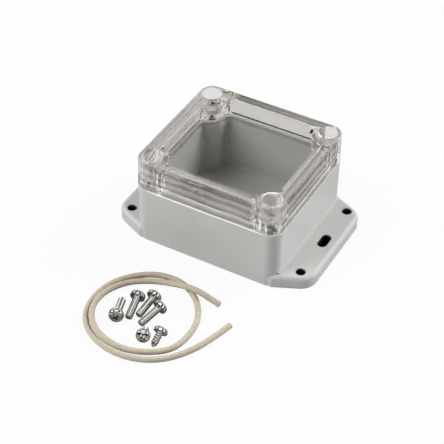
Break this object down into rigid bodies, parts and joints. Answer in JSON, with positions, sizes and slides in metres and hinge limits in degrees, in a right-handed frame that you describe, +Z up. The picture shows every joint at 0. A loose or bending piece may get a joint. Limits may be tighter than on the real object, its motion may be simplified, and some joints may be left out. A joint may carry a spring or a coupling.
{
  "type": "flanged enclosure",
  "caption": "Small flanged plastic enclosure with a clear screw-down lid, threaded corner inserts, and its loose seal cord and screws.",
  "frame": {"origin": "centre of the box's underside, on the surface it stands on", "axes": "+Z up, out of the lid; +X along the line between the two flanges; +Y away from the loose cord and screws"},
  "size_m": [0.09, 0.1223, 0.04],
  "materials": {
    "grey_polycarbonate": "satin",
    "clear_polycarbonate": "clear, gloss",
    "silicone": "matt",
    "brass": "machined",
    "plated_steel": "nickel plated"
  },
  "bodies": {
    "base": {"base": "grey_polycarbonate", "insert_front_left": "brass", "insert_front_right": "brass", "insert_back_left": "brass", "insert_back_right": "brass"},
    "lid": {"clear_lid": "clear_polycarbonate"},
    "cord": {"gasket_cord": "silicone"},
    "lid_screw_1": {"lid_screw_1": "plated_steel"},
    "lid_screw_2": {"lid_screw_2": "plated_steel"},
    "lid_screw_3": {"lid_screw_3": "plated_steel"},
    "lid_screw_4": {"lid_screw_4": "plated_steel"},
    "board_screw_1": {"board_screw_1": "plated_steel"},
    "board_screw_2": {"board_screw_2": "plated_steel"}
  },
  "joints": [
    {"name": "lid_lift", "type": "slide", "parent": "base", "child": "lid", "axis": [0, 0, 1], "range_m": [0, 0.03]},
    {"name": "cord_lift", "type": "slide", "parent": "base", "child": "cord", "axis": [0, 0, 1], "range_m": [0, 0.02]},
    {"name": "lid_screw_1_lift", "type": "slide", "parent": "base", "child": "lid_screw_1", "axis": [0, 0, 1], "range_m": [0, 0.02]},
    {"name": "lid_screw_2_lift", "type": "slide", "parent": "base", "child": "lid_screw_2", "axis": [0, 0, 1], "range_m": [0, 0.02]},
    {"name": "lid_screw_3_lift", "type": "slide", "parent": "base", "child": "lid_screw_3", "axis": [0, 0, 1], "range_m": [0, 0.02]},
    {"name": "lid_screw_4_lift", "type": "slide", "parent": "base", "child": "lid_screw_4", "axis": [0, 0, 1], "range_m": [0, 0.02]},
    {"name": "board_screw_1_lift", "type": "slide", "parent": "base", "child": "board_screw_1", "axis": [0, 0, 1], "range_m": [0, 0.02]},
    {"name": "board_screw_2_lift", "type": "slide", "parent": "base", "child": "board_screw_2", "axis": [0, 0, 1], "range_m": [0, 0.02]}
  ]
}
